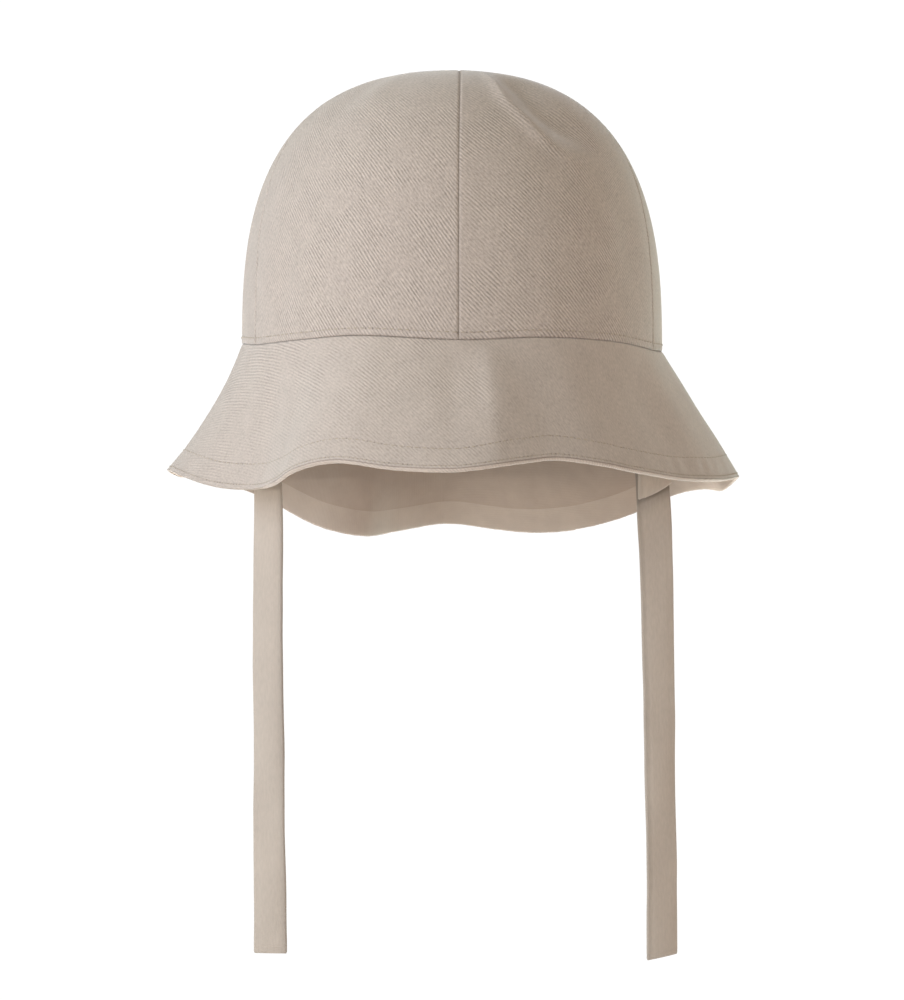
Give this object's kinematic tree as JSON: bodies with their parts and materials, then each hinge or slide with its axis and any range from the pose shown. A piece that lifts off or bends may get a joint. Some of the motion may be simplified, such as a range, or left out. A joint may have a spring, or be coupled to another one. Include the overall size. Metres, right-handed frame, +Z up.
{
  "type": "sun hat with ties",
  "caption": "Baby sun hat of light twill: a round crown of sewn panels, a flared wavy brim with a stitched edge facing, and flat ties that hang at the sides.",
  "frame": {"origin": "centre of the head opening at the seam between crown and brim, where the hat sits on the head", "axes": "+Z up through the crown, -Y the front of the hat, +X the side on the right of the picture"},
  "size_m": [0.2011, 0.2333, 0.3071],
  "materials": {
    "twill_cloth": "light greige cotton twill, matte, fine diagonal lines",
    "tape_cloth": "plain folded cotton tape, matte"
  },
  "bodies": {
    "root": {"crown_panel_front_left": "twill_cloth", "crown_panel_front_right": "twill_cloth", "crown_panel_back_left": "twill_cloth", "crown_panel_back_right": "twill_cloth", "brim": "twill_cloth", "brim_facing": "twill_cloth", "tie_left": "tape_cloth", "tie_right": "tape_cloth"}
  },
  "joints": []
}
